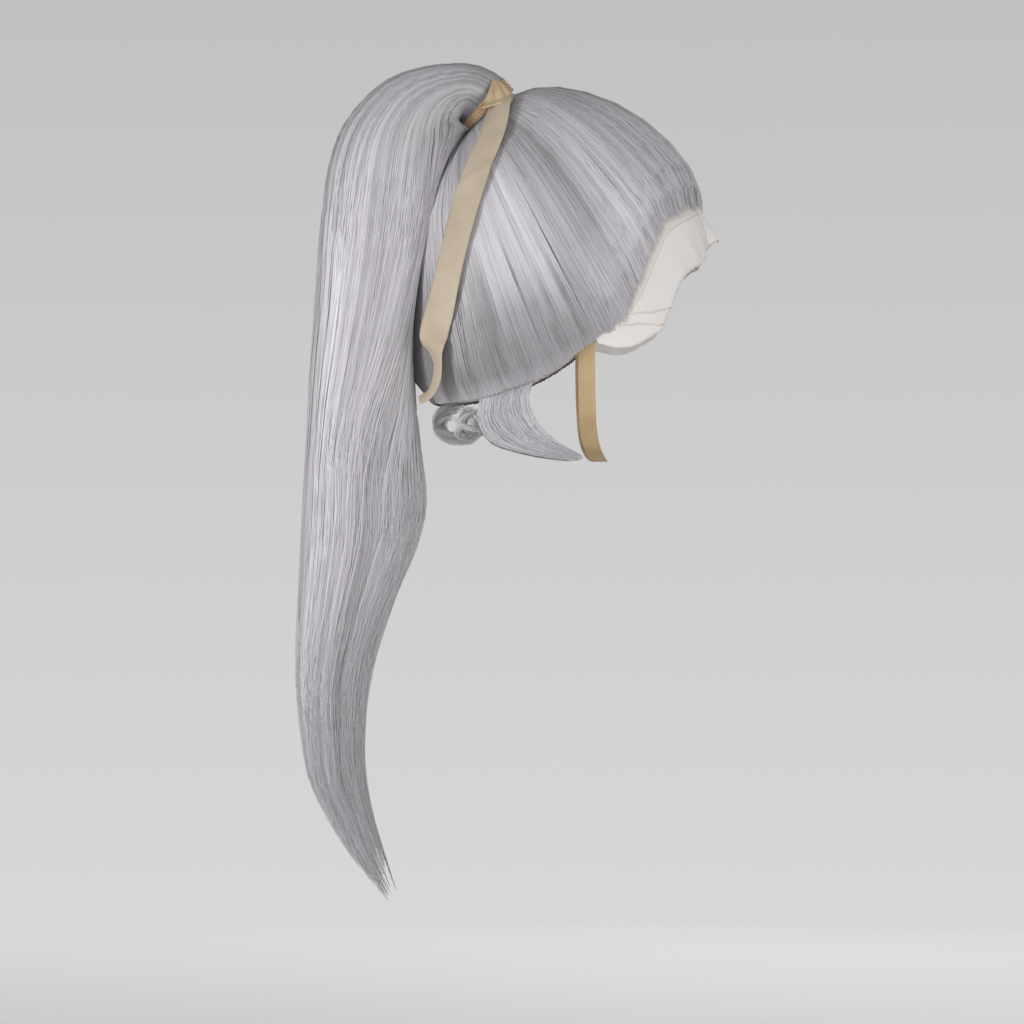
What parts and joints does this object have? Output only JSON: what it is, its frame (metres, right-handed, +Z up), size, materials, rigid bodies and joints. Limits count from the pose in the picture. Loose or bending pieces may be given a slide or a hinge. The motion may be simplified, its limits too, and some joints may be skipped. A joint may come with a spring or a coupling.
{
  "type": "lace front wig",
  "caption": "Lace front wig in silver-lilac fibre, combed up into a high ponytail tied with a ribbon, with a sheer lace hairline, an elastic chin strap and loose locks at the nape.",
  "frame": {"origin": "the top of the wearer's head, inside the cap", "axes": "+Z up, +X to the wearer's front, +Y to the wearer's left"},
  "size_m": [0.266, 0.1628, 0.5229],
  "materials": {
    "hair": "silky synthetic fibre in strands",
    "lace": "fine matt net",
    "ribbon": "plain woven ribbon",
    "strap": "ribbed elastic"
  },
  "bodies": {
    "root": {"combed_hair": "hair", "lace_front": "lace", "ponytail": "hair", "tie_band": "ribbon", "tie_tail": "ribbon", "chin_strap": "strap", "side_lock_right": "hair", "side_lock_left": "hair", "nape_curl_right": "hair", "nape_curl_left": "hair"}
  },
  "joints": []
}
